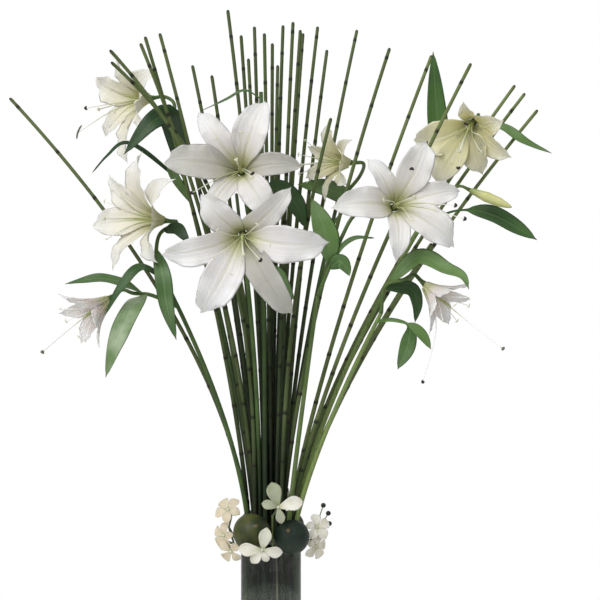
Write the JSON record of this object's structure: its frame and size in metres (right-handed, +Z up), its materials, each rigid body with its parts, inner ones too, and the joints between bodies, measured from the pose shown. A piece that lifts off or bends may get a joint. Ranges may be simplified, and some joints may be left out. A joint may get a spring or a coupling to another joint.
{
  "type": "vase of cut lilies",
  "caption": "Large white lilies among upright jointed green stems in a straight clear glass vase, with a collar of limes and waxy white florets at its mouth.",
  "frame": {"origin": "centre of the vase's flat underside", "axes": "+Z up along the vase's axis, -Y towards the side the blooms face, +X to the right seen from there"},
  "size_m": [0.8452, 0.426, 1.1404],
  "materials": {
    "glass": "clear polished",
    "water": "clear",
    "horsetail": "ridged, matt",
    "leaf": "satin",
    "tepal": "satin",
    "stamen": "matt",
    "bud": "satin",
    "lime": "waxy",
    "floret": "waxy"
  },
  "bodies": {
    "root": {"collar_band": "leaf", "floret_spray_1": "floret", "floret_spray_2": "floret", "floret_spray_3": "floret", "floret_spray_4": "floret", "floret_spray_5": "floret", "horsetails_01": "horsetail", "horsetails_02": "horsetail", "horsetails_03": "horsetail", "horsetails_04": "horsetail", "horsetails_05": "horsetail", "horsetails_06": "horsetail", "horsetails_07": "horsetail", "horsetails_08": "horsetail", "horsetails_09": "horsetail", "horsetails_10": "horsetail", "horsetails_11": "horsetail", "horsetails_12": "horsetail", "horsetails_13": "horsetail", "horsetails_14": "horsetail", "horsetails_15": "horsetail", "horsetails_16": "horsetail", "horsetails_17": "horsetail", "lily_bloom_a": "tepal", "lily_bloom_b": "tepal", "lily_bloom_c": "tepal", "lily_bloom_d": "tepal", "lily_bloom_e": "tepal", "lily_bloom_f": "tepal", "lily_bloom_g": "tepal", "lily_bloom_h": "tepal", "lily_bloom_i": "tepal", "lily_bud": "bud", "lily_stamens_a": "stamen", "lily_stamens_b": "stamen", "lily_stamens_c": "stamen", "lily_stamens_d": "stamen", "lily_stamens_e": "stamen", "lily_stamens_f": "stamen", "lily_stamens_g": "stamen", "lily_stamens_h": "stamen", "lily_stamens_i": "stamen", "lily_stem_a": "leaf", "lily_stem_b": "leaf", "lily_stem_c": "leaf", "lily_stem_d": "leaf", "lily_stem_e": "leaf", "lily_stem_f": "leaf", "lily_stem_g": "leaf", "lily_stem_i": "leaf", "lime_1": "lime", "lime_2": "lime", "lime_3": "lime", "lime_4": "lime", "vase_glass": "glass", "water": "water"}
  },
  "joints": []
}
